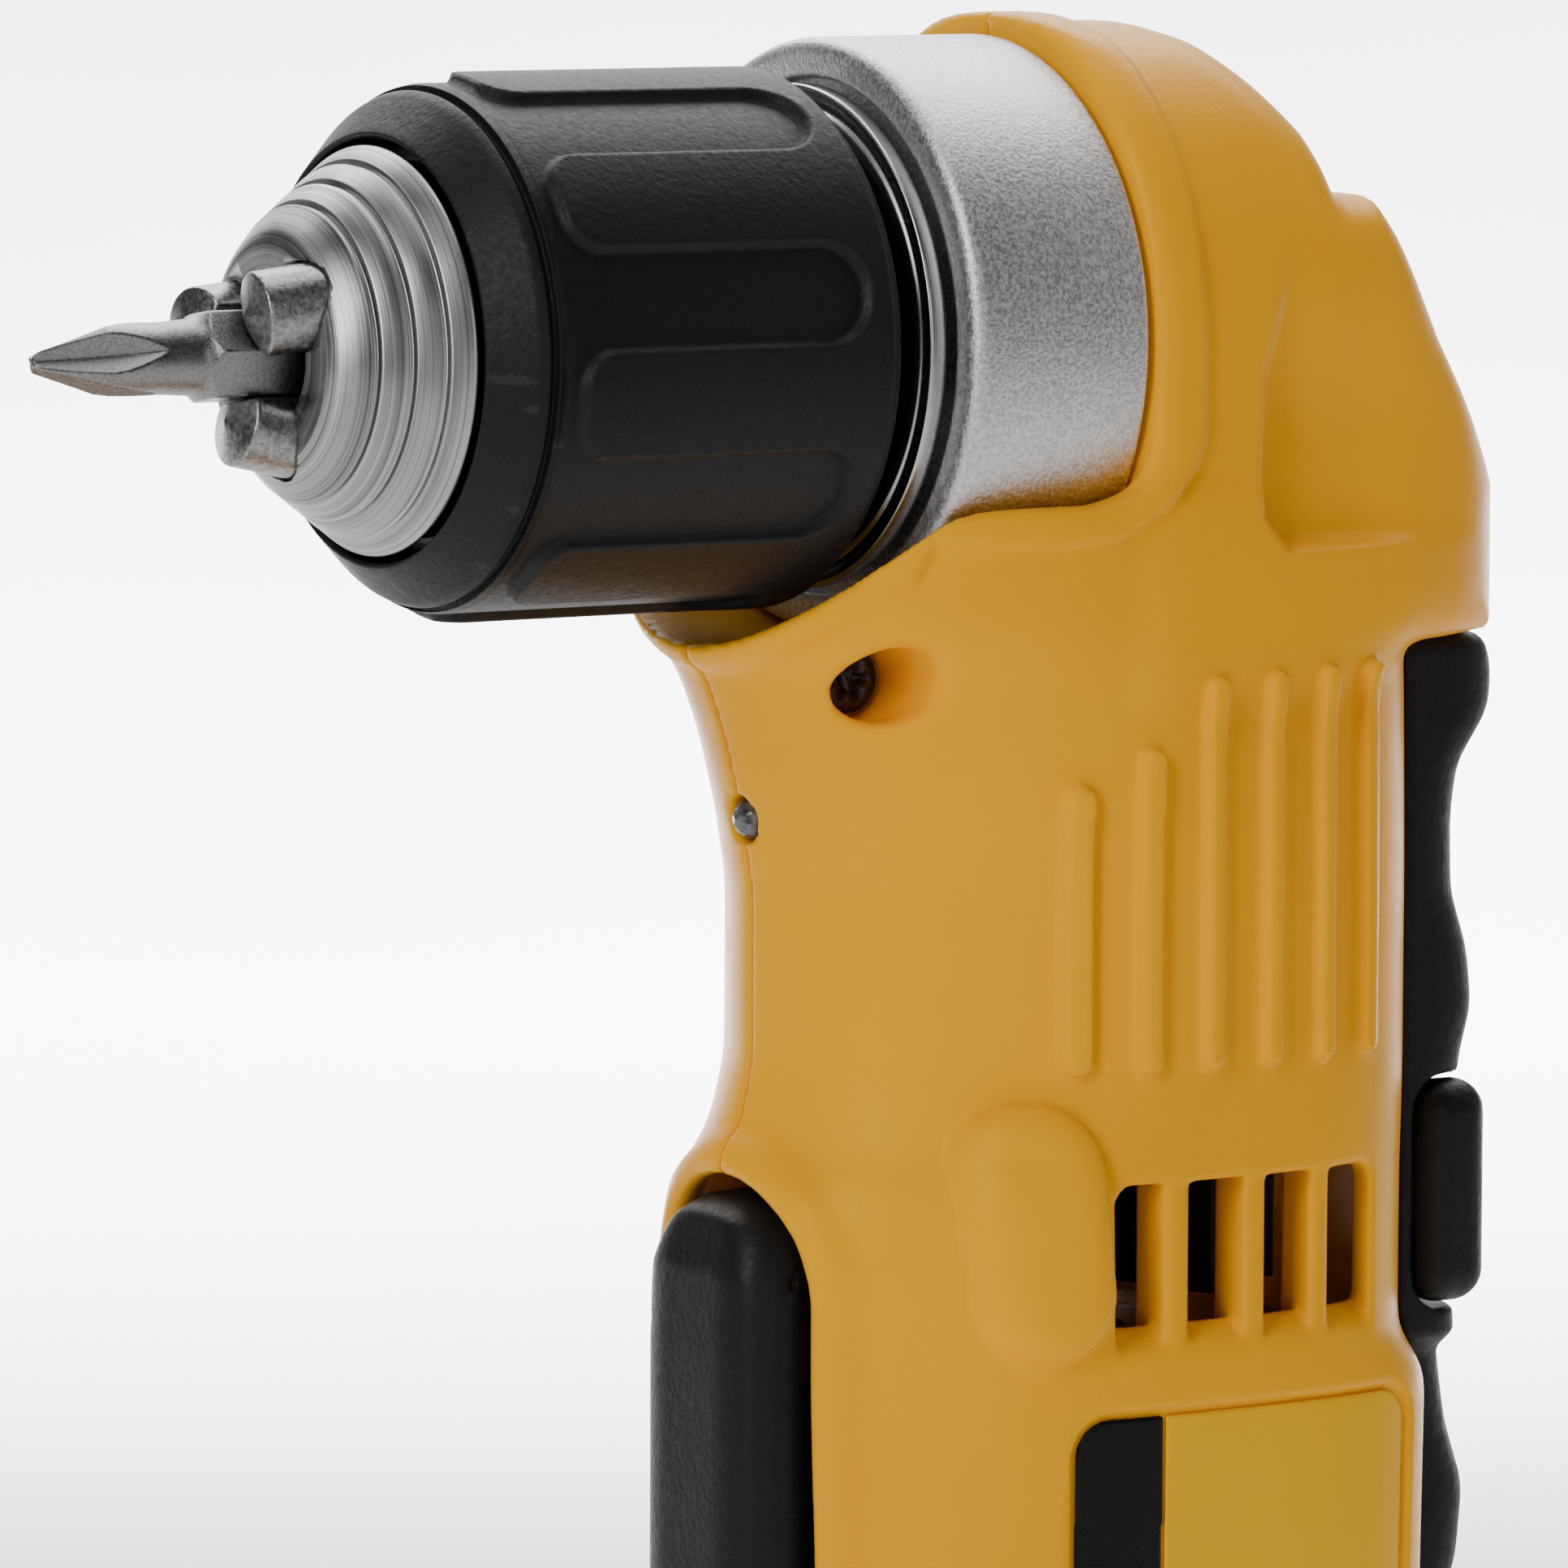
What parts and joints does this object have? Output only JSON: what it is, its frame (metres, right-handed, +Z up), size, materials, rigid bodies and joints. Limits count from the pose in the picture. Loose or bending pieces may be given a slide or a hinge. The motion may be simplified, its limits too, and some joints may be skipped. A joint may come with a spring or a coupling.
{
  "type": "cordless drill",
  "caption": "Right-angle cordless drill with a keyless chuck, screwdriver bit, paddle switch, two-speed gearbox and a slide-on battery it stands on.",
  "frame": {"origin": "on the battery's flat base, under the vertical motor axis", "axes": "+Z up along the body, the chuck points along -X, Y is across the tool"},
  "size_m": [0.1418, 0.074, 0.2988],
  "materials": {
    "yellow_housing": "moulded plastic with a fine grain",
    "screw_steel": "blackened steel",
    "cast_grey": "silver-grey sparkly paint on a casting",
    "bright_steel": "bright turned steel",
    "gear_steel": "oiled steel",
    "bit_steel": "blasted tool steel",
    "motor_steel": "zinc-plated steel",
    "black_plastic": "matt black, fine texture",
    "grip_rubber": "soft overmould, coarse texture",
    "light_lens": "clear lens over a small lamp",
    "lead_red": "insulated wire",
    "lead_black": "insulated wire",
    "cell_wrap": "shrink-wrapped cells"
  },
  "bodies": {
    "tool_body": {"left_housing": "yellow_housing", "right_housing": "yellow_housing", "nose_screw": "screw_steel", "head_screw": "screw_steel", "handle_screw": "screw_steel", "foot_front_screw": "screw_steel", "foot_rear_screw": "screw_steel", "gearcase_collar": "cast_grey", "rear_bearing_holder": "cast_grey", "gearbox_case": "cast_grey", "collar_ring": "bright_steel", "paddle_pivot_pin": "bright_steel", "spindle_front_bearing": "bright_steel", "spindle_rear_bearing": "bright_steel", "pinion_bearing": "bright_steel", "paddle_return_spring": "gear_steel", "motor_can": "motor_steel", "motor_magnet_1": "motor_steel", "motor_magnet_2": "motor_steel", "motor_end_cap": "black_plastic", "switch_body": "black_plastic", "terminal_block": "black_plastic", "rear_grip": "grip_rubber", "handle_grip": "grip_rubber", "work_light": "light_lens", "power_lead_1": "lead_red", "power_lead_2": "lead_black"},
    "chuck": {"chuck_body": "bright_steel", "spindle": "gear_steel", "bevel_gear": "gear_steel", "chuck_rear_ring": "black_plastic", "chuck_screw": "screw_steel"},
    "sleeve": {"chuck_sleeve": "black_plastic", "chuck_nut": "gear_steel"},
    "jaw_1": {"chuck_jaw_1": "bright_steel"},
    "jaw_2": {"chuck_jaw_2": "bright_steel"},
    "jaw_3": {"chuck_jaw_3": "bright_steel"},
    "bit": {"screwdriver_bit": "bit_steel"},
    "pinion": {"bevel_pinion": "gear_steel", "planet_carrier": "gear_steel"},
    "planet_1": {"planet_gear_1": "gear_steel"},
    "planet_2": {"planet_gear_2": "gear_steel"},
    "planet_3": {"planet_gear_3": "gear_steel"},
    "rotor": {"motor_armature": "motor_steel", "motor_fan": "black_plastic", "sun_gear": "gear_steel"},
    "shift": {"speed_selector": "black_plastic", "shift_fork": "gear_steel", "ring_gear": "gear_steel"},
    "paddle": {"paddle_lever": "black_plastic"},
    "plunger": {"switch_plunger": "black_plastic"},
    "direction": {"direction_button": "black_plastic"},
    "battery": {"battery_cover": "black_plastic", "battery_base": "black_plastic", "battery_cell_1": "cell_wrap", "battery_cell_2": "cell_wrap", "battery_cell_3": "cell_wrap", "battery_cell_4": "cell_wrap", "battery_cell_5": "cell_wrap"},
    "release": {"battery_release_button": "yellow_housing"}
  },
  "joints": [
    {"name": "spindle_spin", "type": "hinge", "parent": "tool_body", "child": "chuck", "pos_m": [-0.017, 0, 0.275], "axis": [1, 0, 0], "continuous": true},
    {"name": "pinion_spin", "type": "hinge", "parent": "tool_body", "child": "pinion", "pos_m": [0, 0, 0.275], "axis": [0, 0, 1], "continuous": true},
    {"name": "rotor_spin", "type": "hinge", "parent": "tool_body", "child": "rotor", "pos_m": [0, 0, 0.275], "axis": [0, 0, 1], "continuous": true},
    {"name": "planet_spin_1", "type": "hinge", "parent": "pinion", "child": "planet_1", "pos_m": [0, 0.009, 0.226], "axis": [0, 0, 1], "continuous": true},
    {"name": "planet_spin_2", "type": "hinge", "parent": "pinion", "child": "planet_2", "pos_m": [-0.00779, -0.0045, 0.226], "axis": [0, 0, 1], "continuous": true},
    {"name": "planet_spin_3", "type": "hinge", "parent": "pinion", "child": "planet_3", "pos_m": [0.00779, -0.0045, 0.226], "axis": [0, 0, 1], "continuous": true},
    {"name": "sleeve_turn", "type": "hinge", "parent": "chuck", "child": "sleeve", "pos_m": [-0.017, 0, 0.275], "axis": [-1, 0, 0], "range_deg": [0, 450]},
    {"name": "jaw_slide_1", "type": "slide", "parent": "chuck", "child": "jaw_1", "axis": [0.9744, -0.1723, 0.1446], "range_m": [0, 0.007]},
    {"name": "jaw_slide_2", "type": "slide", "parent": "chuck", "child": "jaw_2", "axis": [0.9744, -0.0391, -0.2215], "range_m": [0, 0.007]},
    {"name": "jaw_slide_3", "type": "slide", "parent": "chuck", "child": "jaw_3", "axis": [0.9744, 0.2114, 0.0769], "range_m": [0, 0.007]},
    {"name": "bit_pull", "type": "slide", "parent": "chuck", "child": "bit", "axis": [-1, 0, 0], "range_m": [0, 0.03]},
    {"name": "speed_shift", "type": "slide", "parent": "tool_body", "child": "shift", "axis": [0, 0, 1], "range_m": [0, 0.005]},
    {"name": "paddle_press", "type": "hinge", "parent": "tool_body", "child": "paddle", "pos_m": [-0.019, 0, 0.136], "axis": [0, 1, 0], "range_deg": [0, 3.5], "stiffness_Nm_per_rad": 1.2, "springref_deg": -2.86},
    {"name": "plunger_press", "type": "slide", "parent": "tool_body", "child": "plunger", "axis": [1, 0, 0], "range_m": [0, 0.0028]},
    {"name": "direction_slide", "type": "slide", "parent": "tool_body", "child": "direction", "axis": [0, 1, 0], "range_m": [-0.003, 0.003]},
    {"name": "battery_slide", "type": "slide", "parent": "tool_body", "child": "battery", "axis": [-1, 0, 0], "range_m": [0, 0.095]},
    {"name": "release_press", "type": "slide", "parent": "battery", "child": "release", "axis": [0, 0, -1], "range_m": [0, 0.003], "stiffness_N_per_m": 800, "springref_m": -0.001}
  ],
  "couplings": [
    {"joint": "pinion_spin", "follows": "spindle_spin", "ratio": -2},
    {"joint": "rotor_spin", "follows": "spindle_spin", "ratio": -10},
    {"joint": "planet_spin_1", "follows": "spindle_spin", "ratio": 5.3333},
    {"joint": "planet_spin_2", "follows": "spindle_spin", "ratio": 5.3333},
    {"joint": "planet_spin_3", "follows": "spindle_spin", "ratio": 5.3333},
    {"joint": "jaw_slide_1", "follows": "sleeve_turn", "m_per_rad": 0.00089127},
    {"joint": "jaw_slide_2", "follows": "sleeve_turn", "m_per_rad": 0.00089127},
    {"joint": "jaw_slide_3", "follows": "sleeve_turn", "m_per_rad": 0.00089127},
    {"joint": "plunger_press", "follows": "paddle_press", "m_per_rad": 0.043}
  ]
}
